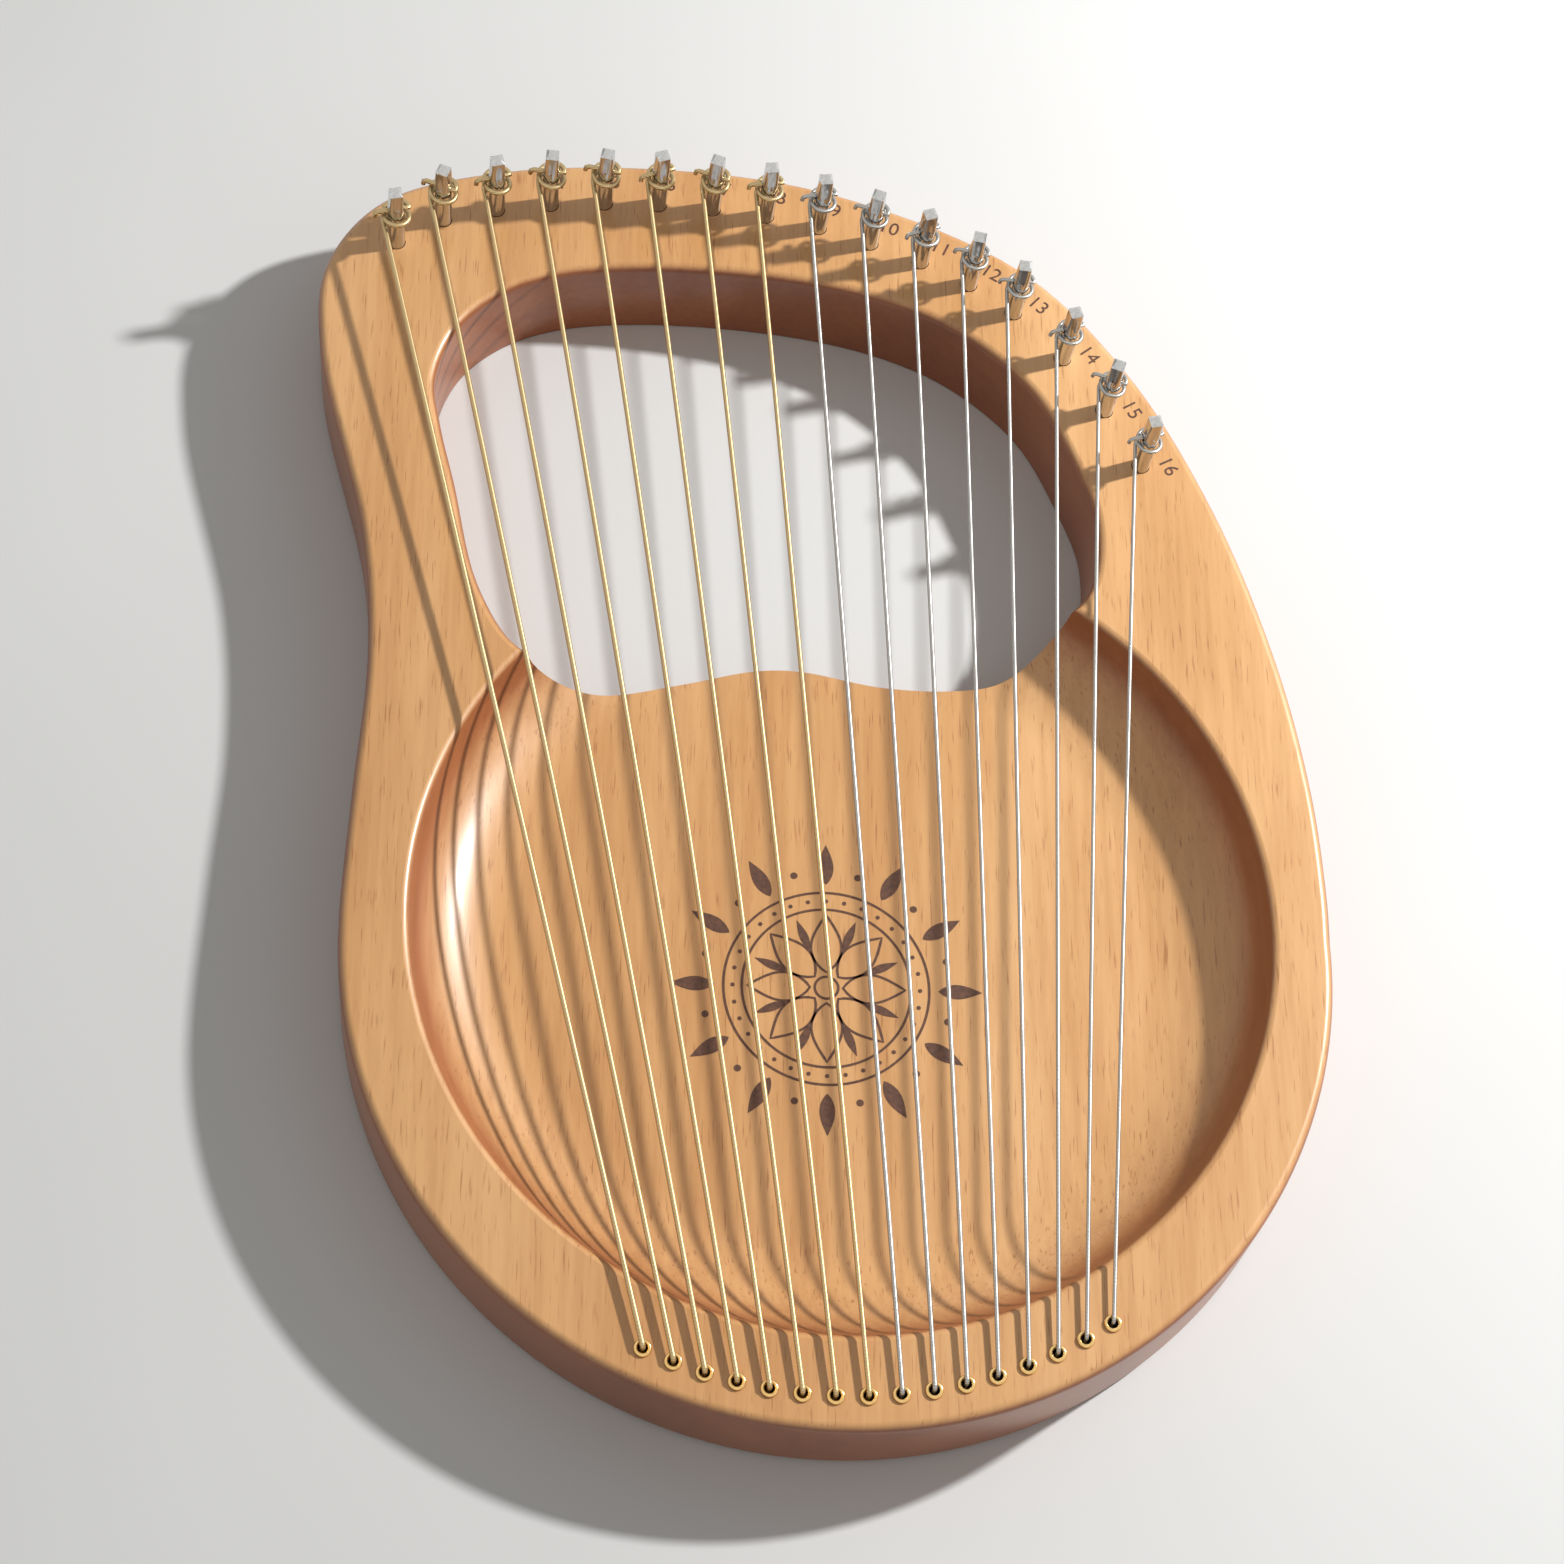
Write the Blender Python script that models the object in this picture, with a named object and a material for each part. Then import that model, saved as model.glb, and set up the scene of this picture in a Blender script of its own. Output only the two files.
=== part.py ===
"""Sixteen-string lyre harp: a carved one-piece board, tuning pins, strings and brass eyelets.

Units are metres. +Z points out of the playing face and +Y from the bowl to the tuning pins.
The origin is the middle of the board's back face.
"""
import math

import bmesh
import bpy
from mathutils import Matrix, Vector

# Board: a round lower half of BODY_RADIUS that grows into a leaning head.
BODY_LENGTH = 0.380
BODY_RADIUS = 0.133
BODY_THICKNESS = 0.030
EDGE_ROUND = 0.0025
HEAD_HEIGHT = BODY_LENGTH - BODY_RADIUS

# Where the round lower half ends, in degrees about its centre.
ARC_START = 180.0
ARC_END = 362.0
ARC_STEP = 9.4

# Head outline, anticlockwise from the right shoulder: x in body radii, y in head heights.
HEAD_SHAPE = [
    (1.0, 0.075), (0.984, 0.2), (0.929, 0.364), (0.812, 0.563), (0.639, 0.745), (0.406, 0.883),
    (0.0, 0.976), (-0.353, 1.0), (-0.737, 0.984), (-1.0, 0.931), (-1.113, 0.838),
    (-1.113, 0.721), (-1.0, 0.478), (-0.974, 0.324), (-0.989, 0.162),
]

# Hand opening, anticlockwise from its left shoulder, in the same units.
OPENING_SHAPE = [
    (-0.865, 0.688), (-0.850, 0.630), (-0.814, 0.552), (-0.756, 0.423), (-0.674, 0.348),
    (-0.602, 0.330), (-0.494, 0.322), (-0.322, 0.343), (-0.163, 0.365), (-0.068, 0.367),
    (0.104, 0.351), (0.253, 0.350), (0.361, 0.361), (0.461, 0.402), (0.537, 0.448),
    (0.556, 0.538), (0.511, 0.617), (0.424, 0.711), (0.287, 0.780), (0.147, 0.818),
    (-0.063, 0.845), (-0.394, 0.854), (-0.605, 0.839), (-0.726, 0.810), (-0.821, 0.759),
]

# Bowl: a flat round floor inside a coved wall.
BOWL_OFFSET = Vector((0.001, 0.008))
BOWL_RADIUS = 0.1155
BOWL_DEPTH = 0.020
COVE_WIDTH = 0.031
BOWL_SIDES = 56
COVE_STEPS = 5

# Tuning pins, in a row that follows the head's edge.
STRING_COUNT = 16
PIN_RADIUS = 0.0025
PIN_DEPTH = 0.018
PIN_ROUND_HEIGHT = 0.0172
PIN_SHOULDER = 0.0008
PIN_HEIGHT = 0.025
PIN_TOP_BEVEL = 0.0008
PIN_POINT = 0.0006
HEAD_WIDTH = 0.0042
HEAD_TIP_WIDTH = 0.0036
PIN_HOLE_HEIGHT = 0.0163
PIN_INSET = 0.0138
PIN_SPACING = 0.0159
WIDE_PIN_SPACING = 0.0206
FIRST_WIDE_PIN = 13
CROWN_TO_FIRST_PIN = 0.0848
PIN_SIDES = 12
PIN_TURN_SPREAD = 20.0
CROSS_HOLE_SIDES = 8

# Eyelets and the string holes under them, on an arc below the bowl.
EYELET_INSET = 0.009
EYELET_SPACING = 0.00835
EYELET_ROW_ANGLE = -85.35
BORE_RADIUS = 0.00125
SLEEVE_RADIUS = 0.00165
SLEEVE_DEPTH = 0.006
LIP_RADIUS = 0.00235
LIP_HEIGHT = 0.0006
EYELET_SIDES = 10
COUNTERBORE_RADIUS = 0.003
COUNTERBORE_DEPTH = 0.005

# Strings: wound basses on the left, plain trebles on the right.
WOUND_STRINGS = 8
WOUND_THICKEST = 0.0015
WOUND_THINNEST = 0.00135
PLAIN_THICKEST = 0.00125
PLAIN_THINNEST = 0.0011
BALL_RADIUS = 0.0021
BALL_LENGTH = 0.0036
BALL_ROUND = 0.0005
STRING_BEND = 0.001
STRING_HEIGHT_AT_PIN = 0.0112
COIL_PITCH = 0.003
COIL_POINTS = 10
COIL_STEPS = 11

# The gap kept between touching pieces, and how far cutters pass the faces they cut.
CLEARANCE = 0.0003
CUT_MARGIN = 0.001


def blend(first, second, start, end, place):
    """The point between two points whose curve values are start and end."""
    return first.lerp(second, (place - start) / (end - start))


def curve_point(guides, share):
    """A point on the centripetal Catmull-Rom curve between the middle two of four guides."""
    knots = [0.0]
    for before, after in zip(guides, guides[1:]):
        knots.append(knots[-1] + math.sqrt((after - before).length))
    place = knots[1] + share * (knots[2] - knots[1])
    sides = [blend(guides[i], guides[i + 1], knots[i], knots[i + 1], place) for i in range(3)]
    ends = [blend(sides[i], sides[i + 1], knots[i], knots[i + 2], place) for i in range(2)]
    return blend(ends[0], ends[1], knots[1], knots[2], place)


def smooth_curve(points, steps):
    """Points along the smooth curve from the second given point up to the last but one."""
    result = []
    for index in range(1, len(points) - 2):
        guides = points[index - 1:index + 3]
        for step in range(steps):
            result.append(curve_point(guides, step / steps))
    return result


def on_circle(radius, degrees):
    """A plan point on a circle about the origin."""
    angle = math.radians(degrees)
    return Vector((radius * math.cos(angle), radius * math.sin(angle)))


def scaled_shape(shape):
    """Plan points in metres about the centre of the round lower half."""
    return [Vector((x * BODY_RADIUS, y * HEAD_HEIGHT)) for x, y in shape]


def body_outline():
    """The board's outline, anticlockwise, about the centre of the round lower half."""
    guides = [on_circle(BODY_RADIUS, ARC_END - ARC_STEP), on_circle(BODY_RADIUS, ARC_END)]
    guides += scaled_shape(HEAD_SHAPE)
    guides += [on_circle(BODY_RADIUS, ARC_START), on_circle(BODY_RADIUS, ARC_START + ARC_STEP)]
    outline = smooth_curve(guides, 3)
    arc_count = round((ARC_END - ARC_START) / ARC_STEP)
    for index in range(arc_count):
        share = index / arc_count
        outline.append(on_circle(BODY_RADIUS, ARC_START + share * (ARC_END - ARC_START)))
    return outline


def opening_outline():
    """The hand opening's outline, anticlockwise, about the same centre."""
    points = scaled_shape(OPENING_SHAPE)
    return smooth_curve([points[-1]] + points + points[:2], 2)


def moved_out(outline, distance):
    """An anticlockwise outline moved outwards along its normals."""
    result = []
    for index, point in enumerate(outline):
        tangent = (outline[(index + 1) % len(outline)] - outline[index - 1]).normalized()
        result.append(point + distance * Vector((tangent.y, -tangent.x)))
    return result


def box_centre(outline):
    """The middle of an outline's bounding box."""
    xs = [point.x for point in outline]
    ys = [point.y for point in outline]
    return Vector(((min(xs) + max(xs)) / 2, (min(ys) + max(ys)) / 2))


OUTLINE = body_outline()
ROUND_CENTRE = -box_centre(OUTLINE)


def placed(point, height):
    """A plan point about the round centre, as a point in the part's frame."""
    return Vector((point.x + ROUND_CENTRE.x, point.y + ROUND_CENTRE.y, height))


def pin_places():
    """Plan points of the tuning pins, left to right, on a line inset from the head's edge."""
    line = moved_out(OUTLINE, -PIN_INSET)[::-1]
    crown = max(range(len(line)), key=lambda index: line[index].y)
    line = line[crown - len(line) // 4:crown + len(line) // 4]
    crown = max(range(len(line)), key=lambda index: line[index].y)
    lengths = [0.0]
    for before, after in zip(line, line[1:]):
        lengths.append(lengths[-1] + (after - before).length)
    place = lengths[crown] - CROWN_TO_FIRST_PIN
    places = []
    for number in range(1, STRING_COUNT + 1):
        index = max(i for i, length in enumerate(lengths[:-1]) if length <= place)
        places.append(blend(line[index], line[index + 1], lengths[index], lengths[index + 1], place))
        place += WIDE_PIN_SPACING if number >= FIRST_WIDE_PIN else PIN_SPACING
    return places


def eyelet_places():
    """Plan points of the eyelets, left to right, on an arc inside the bottom edge."""
    radius = BODY_RADIUS - EYELET_INSET
    step = math.degrees(EYELET_SPACING / radius)
    middle = (STRING_COUNT - 1) / 2
    return [on_circle(radius, EYELET_ROW_ANGLE + (i - middle) * step) for i in range(STRING_COUNT)]


PINS = pin_places()
EYELETS = eyelet_places()


def add_rings(mesh, rings, closed=False):
    """Join rings of points into a skin, with flat end caps unless it closes on itself."""
    loops = [[mesh.verts.new(point) for point in ring] for ring in rings]
    pairs = list(zip(loops, loops[1:]))
    if closed:
        pairs.append((loops[-1], loops[0]))
    else:
        mesh.faces.new(loops[0])
        mesh.faces.new(loops[-1])
    for lower, upper in pairs:
        count = len(lower)
        for index in range(count):
            after = (index + 1) % count
            mesh.faces.new((lower[index], lower[after], upper[after], upper[index]))


def turned_rings(profile, sides, centre=None):
    """Rings of a turned shape about a vertical axis, from (radius, height) pairs."""
    centre = centre or Vector((0.0, 0.0, 0.0))
    rings = []
    for radius, height in profile:
        ring = []
        for index in range(sides):
            point = on_circle(radius, 360 * (index + 0.5) / sides)
            ring.append(centre + Vector((point.x, point.y, height)))
        rings.append(ring)
    return rings


def mesh_data(name, mesh):
    """Finish a bmesh as mesh data with its faces pointing out."""
    bmesh.ops.recalc_face_normals(mesh, faces=mesh.faces)
    data = bpy.data.meshes.new(name)
    mesh.to_mesh(data)
    mesh.free()
    return data


def finish(name, colour, roughness, metallic):
    """A plain material for one kind of piece."""
    material = bpy.data.materials.new(name)
    material.use_nodes = True
    shader = material.node_tree.nodes["Principled BSDF"]
    shader.inputs["Base Color"].default_value = (*colour, 1.0)
    shader.inputs["Roughness"].default_value = roughness
    shader.inputs["Metallic"].default_value = metallic
    return material


def add_object(name, data, material=None):
    """Add an object with the given data to the scene."""
    item = bpy.data.objects.new(name, data)
    bpy.context.scene.collection.objects.link(item)
    if material and not data.materials:
        data.materials.append(material)
    return item


def add_cutter(name, mesh, target):
    """Cut a closed shape out of the target and hide the shape."""
    cutter = add_object(name, mesh_data(name, mesh))
    cutter.hide_render = True
    cutter.display_type = 'WIRE'
    cut = target.modifiers.new(name, 'BOOLEAN')
    cut.operation = 'DIFFERENCE'
    cut.solver = 'EXACT'
    cut.object = cutter
    return cutter


def edge_flare():
    """How far a rounded edge stands back from the wall, and its height below the face."""
    steps = []
    for degrees in (0, 40, 80):
        angle = math.radians(degrees)
        steps.append((EDGE_ROUND * (1 - math.cos(angle)), EDGE_ROUND * (math.sin(angle) - 1)))
    steps.append((1.5 * EDGE_ROUND, 0.3 * EDGE_ROUND))
    return steps


def board_rings():
    """Rings of the uncut board with both edges rounded."""
    rings = []
    for degrees in (-90, -45, 0, 0, 45, 90):
        angle = math.radians(degrees)
        inset = EDGE_ROUND * (1 - math.cos(angle))
        height = EDGE_ROUND * (1 + math.sin(angle))
        if len(rings) >= 3:
            height += BODY_THICKNESS - 2 * EDGE_ROUND
        rings.append([placed(point, height) for point in moved_out(OUTLINE, -inset)])
    return rings


def cut_opening(board):
    """The hand opening, right through, with a rounded front edge."""
    outline = opening_outline()
    rings = [[placed(point, -CUT_MARGIN) for point in outline]]
    for offset, drop in edge_flare():
        height = BODY_THICKNESS + drop
        rings.append([placed(point, height) for point in moved_out(outline, offset)])
    mesh = bmesh.new()
    add_rings(mesh, rings)
    add_cutter("opening_cutter", mesh, board)


def cut_bowl(board):
    """The round bowl with its coved wall and rounded rim."""
    floor_radius = BOWL_RADIUS - COVE_WIDTH
    profile = []
    for step in range(COVE_STEPS):
        angle = math.radians(75 * step / (COVE_STEPS - 1))
        radius = floor_radius + COVE_WIDTH * math.sin(angle)
        profile.append((radius, BODY_THICKNESS - BOWL_DEPTH * math.cos(angle)))
    for offset, drop in edge_flare():
        profile.append((BOWL_RADIUS + offset, BODY_THICKNESS + drop))
    mesh = bmesh.new()
    add_rings(mesh, turned_rings(profile, BOWL_SIDES, placed(BOWL_OFFSET, 0.0)))
    add_cutter("bowl_cutter", mesh, board)


def hole_radius(radius, sides):
    """Corner radius of a faceted hole whose flats clear a round piece."""
    return (radius + CLEARANCE) / math.cos(math.pi / sides)


def cut_pin_holes(board):
    """A blind hole for each tuning pin."""
    radius = hole_radius(PIN_RADIUS, PIN_SIDES)
    bottom = BODY_THICKNESS - PIN_DEPTH - CLEARANCE
    mesh = bmesh.new()
    for place in PINS:
        profile = [(radius, bottom), (radius, BODY_THICKNESS + CUT_MARGIN)]
        add_rings(mesh, turned_rings(profile, PIN_SIDES, placed(place, 0.0)))
    add_cutter("pin_hole_cutter", mesh, board)


def cut_string_holes(board):
    """A stepped hole for each string: counterbore, passage and eyelet seat."""
    seat_radius = hole_radius(SLEEVE_RADIUS, EYELET_SIDES)
    seat_bottom = BODY_THICKNESS - SLEEVE_DEPTH - CLEARANCE
    profile = [
        (COUNTERBORE_RADIUS, -CUT_MARGIN),
        (COUNTERBORE_RADIUS, COUNTERBORE_DEPTH),
        (BORE_RADIUS, COUNTERBORE_DEPTH),
        (BORE_RADIUS, seat_bottom),
        (seat_radius, seat_bottom),
        (seat_radius, BODY_THICKNESS + CUT_MARGIN),
    ]
    mesh = bmesh.new()
    for place in EYELETS:
        add_rings(mesh, turned_rings(profile, EYELET_SIDES, placed(place, 0.0)))
    add_cutter("string_hole_cutter", mesh, board)


def make_board(wood):
    """The carved board that carries everything."""
    mesh = bmesh.new()
    add_rings(mesh, board_rings())
    board = add_object("body", mesh_data("body", mesh), wood)
    cut_opening(board)
    cut_bowl(board)
    cut_pin_holes(board)
    cut_string_holes(board)


def squared_ring(width, height):
    """A ring of the pin's square head, whose corners keep the round pin's radius."""
    ring = []
    for index in range(PIN_SIDES):
        degrees = 360 * (index + 0.5) / PIN_SIDES
        angle = math.radians(degrees)
        flat = width / 2 / max(abs(math.cos(angle)), abs(math.sin(angle)))
        point = on_circle(min(PIN_RADIUS, flat), degrees)
        ring.append(Vector((point.x, point.y, height)))
    return ring


def pin_mesh():
    """One tuning pin with its cross hole, standing on the board's face at height 0."""
    profile = [
        (PIN_RADIUS - PIN_POINT, -PIN_DEPTH),
        (PIN_RADIUS, -PIN_DEPTH + PIN_POINT),
        (PIN_RADIUS, PIN_ROUND_HEIGHT),
    ]
    rings = turned_rings(profile, PIN_SIDES)
    rings.append(squared_ring(HEAD_WIDTH, PIN_ROUND_HEIGHT + PIN_SHOULDER))
    rings.append(squared_ring(HEAD_TIP_WIDTH, PIN_HEIGHT - PIN_TOP_BEVEL))
    rings.append(squared_ring(HEAD_TIP_WIDTH - 2 * PIN_TOP_BEVEL, PIN_HEIGHT))
    mesh = bmesh.new()
    add_rings(mesh, rings)
    blank = add_object("pin_blank", mesh_data("pin_blank", mesh))

    hole = bmesh.new()
    radius = hole_radius(WOUND_THICKEST / 2, CROSS_HOLE_SIDES)
    reach = PIN_RADIUS + CUT_MARGIN
    add_rings(hole, turned_rings([(radius, -reach), (radius, reach)], CROSS_HOLE_SIDES))
    across = Matrix.Translation((0.0, 0.0, PIN_HOLE_HEIGHT)) @ Matrix.Rotation(math.pi / 2, 4, 'Y')
    bmesh.ops.transform(hole, matrix=across, verts=hole.verts)
    cutter = add_cutter("cross_hole_cutter", hole, blank)

    depsgraph = bpy.context.evaluated_depsgraph_get()
    data = bpy.data.meshes.new_from_object(blank.evaluated_get(depsgraph))
    data.name = "tuning_pin"
    data.shade_smooth()
    data.set_sharp_from_angle(angle=math.radians(35))
    bpy.data.objects.remove(blank)
    bpy.data.objects.remove(cutter)
    return data


def make_pins(steel):
    """The tuning pins, each left at its own angle by the last tuning."""
    data = pin_mesh()
    for number, place in enumerate(PINS, start=1):
        pin = add_object(f"tuning_pin_{number:02d}", data, steel)
        pin.location = placed(place, BODY_THICKNESS)
        turn = PIN_TURN_SPREAD * math.sin(2.4 * number)
        pin.rotation_euler = (0.0, 0.0, math.radians(turn))


def eyelet_mesh():
    """A brass eyelet: a thin sleeve with a domed lip resting on the face."""
    under_lip = BODY_THICKNESS + CLEARANCE
    top = under_lip + LIP_HEIGHT
    bottom = BODY_THICKNESS - SLEEVE_DEPTH
    lip_width = LIP_RADIUS - BORE_RADIUS
    profile = [
        (BORE_RADIUS, bottom),
        (SLEEVE_RADIUS, bottom),
        (SLEEVE_RADIUS, under_lip),
        (LIP_RADIUS, under_lip),
        (LIP_RADIUS, under_lip + 0.3 * LIP_HEIGHT),
        (LIP_RADIUS - 0.35 * lip_width, top),
        (LIP_RADIUS - 0.7 * lip_width, top),
        (BORE_RADIUS, under_lip + 0.3 * LIP_HEIGHT),
    ]
    mesh = bmesh.new()
    add_rings(mesh, turned_rings(profile, EYELET_SIDES), closed=True)
    data = mesh_data("eyelet", mesh)
    data.shade_smooth()
    data.set_sharp_from_angle(angle=math.radians(50))
    return data


def make_eyelets(brass):
    """An eyelet in each string hole."""
    data = eyelet_mesh()
    for number, place in enumerate(EYELETS, start=1):
        eyelet = add_object(f"eyelet_{number:02d}", data, brass)
        eyelet.location = placed(place, 0.0)


def string_diameter(number):
    """Diameter of a string, thinner from left to right within each kind."""
    if number <= WOUND_STRINGS:
        share = (number - 1) / (WOUND_STRINGS - 1)
        return WOUND_THICKEST + share * (WOUND_THINNEST - WOUND_THICKEST)
    share = (number - WOUND_STRINGS - 1) / (STRING_COUNT - WOUND_STRINGS - 1)
    return PLAIN_THICKEST + share * (PLAIN_THINNEST - PLAIN_THICKEST)


def ball_end(foot, radius):
    """Route points of the ball end in its counterbore, each with its thickness."""
    top = COUNTERBORE_DEPTH - CLEARANCE
    bottom = top - BALL_LENGTH
    shrunk = BALL_RADIUS - 2 * BALL_ROUND
    return [
        (placed(foot, bottom), shrunk),
        (placed(foot, bottom + BALL_ROUND), BALL_RADIUS),
        (placed(foot, top - BALL_ROUND), BALL_RADIUS),
        (placed(foot, top), shrunk),
        (placed(foot, COUNTERBORE_DEPTH), radius),
    ]


def string_route(number):
    """Route points of a string from its ball end to the end of its winding."""
    radius = string_diameter(number) / 2
    foot = EYELETS[number - 1]
    pin = PINS[number - 1]
    coil_radius = (PIN_RADIUS + CLEARANCE + radius) / math.cos(math.pi / COIL_POINTS)
    offset = pin - foot
    swing = math.asin(coil_radius / offset.length)
    heading = Matrix.Rotation(swing, 2) @ offset.normalized()
    start_height = BODY_THICKNESS + LIP_HEIGHT + 2 * CLEARANCE + radius
    end_height = BODY_THICKNESS + STRING_HEIGHT_AT_PIN

    route = ball_end(foot, radius)
    for degrees in (0, 30, 60, 90):
        angle = math.radians(degrees)
        along = foot + heading * STRING_BEND * (1 - math.cos(angle))
        height = start_height - STRING_BEND * (1 - math.sin(angle))
        route.append((placed(along, height), radius))
    start_angle = math.atan2(heading.x, -heading.y)
    for step in range(COIL_STEPS + 1):
        turn = step / COIL_POINTS
        point = pin + on_circle(coil_radius, math.degrees(start_angle) - 360 * turn)
        route.append((placed(point, end_height + COIL_PITCH * turn), radius))
    return route


def winding_gap(route):
    """Least gap of a string's winding to itself and to the straight run that enters it."""
    run_start, run_end = route[-COIL_STEPS - 2][0], route[-COIL_STEPS - 1][0]
    direction = (run_end - run_start).normalized()
    points = [point for point, radius in route[-COIL_STEPS - 1:]]
    radius = route[-1][1]
    gaps = []
    for index, point in enumerate(points[COIL_POINTS // 2:], start=COIL_POINTS // 2):
        along = max(0.0, (run_end - point).dot(direction))
        gaps.append((run_end - direction * along - point).length - 2 * radius)
        gaps += [(point - other).length - 2 * radius for other in points[:index - COIL_POINTS // 2]]
    return min(gaps)


def make_strings(bronze, silver):
    """The strings, each one unbroken tube."""
    for number in range(1, STRING_COUNT + 1):
        route = string_route(number)
        radius = route[-1][1]
        name = f"string_{number:02d}"
        curve = bpy.data.curves.new(name, 'CURVE')
        curve.dimensions = '3D'
        curve.bevel_depth = radius
        curve.bevel_resolution = 1
        curve.use_fill_caps = True
        spline = curve.splines.new('POLY')
        spline.points.add(len(route) - 1)
        for item, (point, thickness) in zip(spline.points, route):
            item.co = (*point, 1.0)
            item.radius = thickness / radius
        add_object(name, curve, bronze if number <= WOUND_STRINGS else silver)
        print(f"{name} winding gap {winding_gap(route) * 1000:.2f} mm")


def clear_scene():
    """Remove whatever the scene holds."""
    for item in list(bpy.data.objects):
        bpy.data.objects.remove(item)


def main():
    """Build every piece."""
    clear_scene()
    wood = finish("mahogany", (0.62, 0.36, 0.16), 0.35, 0.0)
    steel = finish("nickel", (0.75, 0.75, 0.75), 0.18, 1.0)
    brass = finish("brass", (0.80, 0.55, 0.22), 0.25, 1.0)
    bronze = finish("bronze_winding", (0.85, 0.68, 0.40), 0.35, 1.0)
    silver = finish("silver_winding", (0.80, 0.79, 0.76), 0.30, 1.0)
    make_board(wood)
    make_pins(steel)
    make_eyelets(brass)
    make_strings(bronze, silver)


main()
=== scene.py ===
"""Finished look of the sixteen-string lyre harp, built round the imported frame. Units are metres."""
import math

import bmesh
import bpy
from mathutils import Matrix, Vector


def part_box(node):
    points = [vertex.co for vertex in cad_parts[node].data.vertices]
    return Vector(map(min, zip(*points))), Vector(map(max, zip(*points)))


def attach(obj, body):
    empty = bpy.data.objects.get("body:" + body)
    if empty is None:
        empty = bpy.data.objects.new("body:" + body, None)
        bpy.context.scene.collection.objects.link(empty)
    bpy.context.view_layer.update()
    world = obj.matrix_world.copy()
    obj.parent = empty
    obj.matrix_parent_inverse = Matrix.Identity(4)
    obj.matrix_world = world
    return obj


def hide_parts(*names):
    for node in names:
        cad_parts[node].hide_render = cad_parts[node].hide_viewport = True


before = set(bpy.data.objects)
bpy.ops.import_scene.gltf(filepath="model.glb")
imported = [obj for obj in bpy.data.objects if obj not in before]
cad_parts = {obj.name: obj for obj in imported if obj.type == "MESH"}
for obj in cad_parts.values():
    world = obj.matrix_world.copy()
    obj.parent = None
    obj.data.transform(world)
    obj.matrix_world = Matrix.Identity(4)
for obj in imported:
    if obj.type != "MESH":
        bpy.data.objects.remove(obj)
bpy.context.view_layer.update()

# Board, as in the CAD model. Shapes are shares of BODY_RADIUS across and of HEAD_HEIGHT up.
BODY_RADIUS = 0.133
HEAD_HEIGHT = 0.247
BODY_THICKNESS = 0.030
EDGE_ROUND = 0.0025
ARC_START = 180.0
ARC_END = 362.0
ARC_STEP = 9.4
HEAD_SHAPE = [
    (1.0, 0.075), (0.984, 0.2), (0.929, 0.364), (0.812, 0.563), (0.639, 0.745), (0.406, 0.883),
    (0.0, 0.976), (-0.353, 1.0), (-0.737, 0.984), (-1.0, 0.931), (-1.113, 0.838),
    (-1.113, 0.721), (-1.0, 0.478), (-0.974, 0.324), (-0.989, 0.162),
]
OPENING_SHAPE = [
    (-0.865, 0.688), (-0.850, 0.630), (-0.814, 0.552), (-0.756, 0.423), (-0.674, 0.348),
    (-0.602, 0.330), (-0.494, 0.322), (-0.322, 0.343), (-0.163, 0.365), (-0.068, 0.367),
    (0.104, 0.351), (0.253, 0.350), (0.361, 0.361), (0.461, 0.402), (0.537, 0.448),
    (0.556, 0.538), (0.511, 0.617), (0.424, 0.711), (0.287, 0.780), (0.147, 0.818),
    (-0.063, 0.845), (-0.394, 0.854), (-0.605, 0.839), (-0.726, 0.810), (-0.821, 0.759),
]
BOWL_OFFSET = Vector((0.001, 0.008))
BOWL_RADIUS = 0.1155
BOWL_DEPTH = 0.020
COVE_WIDTH = 0.031
COVE_ANGLE = 75
FLOOR_HEIGHT = BODY_THICKNESS - BOWL_DEPTH

# Fineness of the CAD model's curves and of the turn round each pin, which set where things lie.
FRAME_CURVE_STEPS = 3
FRAME_COIL_POINTS = 10

# Where a cutter ends at a rounded edge: out from the wall and above the face, in shares of EDGE_ROUND.
FLARE_REACH = 1.5
FLARE_RISE = 0.3

# Pins, eyelets and strings, as in the CAD model.
STRING_COUNT = 16
PIN_RADIUS = 0.0025
PIN_DEPTH = 0.018
PIN_FOOT_BEVEL = 0.0006
PIN_ROUND_HEIGHT = 0.0172
PIN_SHOULDER = 0.0008
PIN_HEIGHT = 0.025
PIN_TOP_BEVEL = 0.0008
HEAD_WIDTH = 0.0042
HEAD_TIP_WIDTH = 0.0036
PIN_HOLE_HEIGHT = 0.0163
PIN_TURN_SPREAD = 20.0
PIN_TURN_RATE = 2.4
BORE_RADIUS = 0.00125
SLEEVE_RADIUS = 0.00165
SLEEVE_DEPTH = 0.006
LIP_RADIUS = 0.00235
LIP_HEIGHT = 0.0006
COUNTERBORE_RADIUS = 0.003
COUNTERBORE_DEPTH = 0.005
WOUND_STRINGS = 8
WOUND_DIAMETERS = (0.0015, 0.00135)
PLAIN_DIAMETERS = (0.00125, 0.0011)
BALL_RADIUS = 0.0021
BALL_LENGTH = 0.0036
BALL_ROUND = 0.0005
STRING_BEND = 0.001
STRING_HEIGHT_AT_PIN = 0.0112
COIL_PITCH = 0.003
COIL_TURNS = 1.1
CLEARANCE = 0.0003
CUT_MARGIN = 0.001

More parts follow.
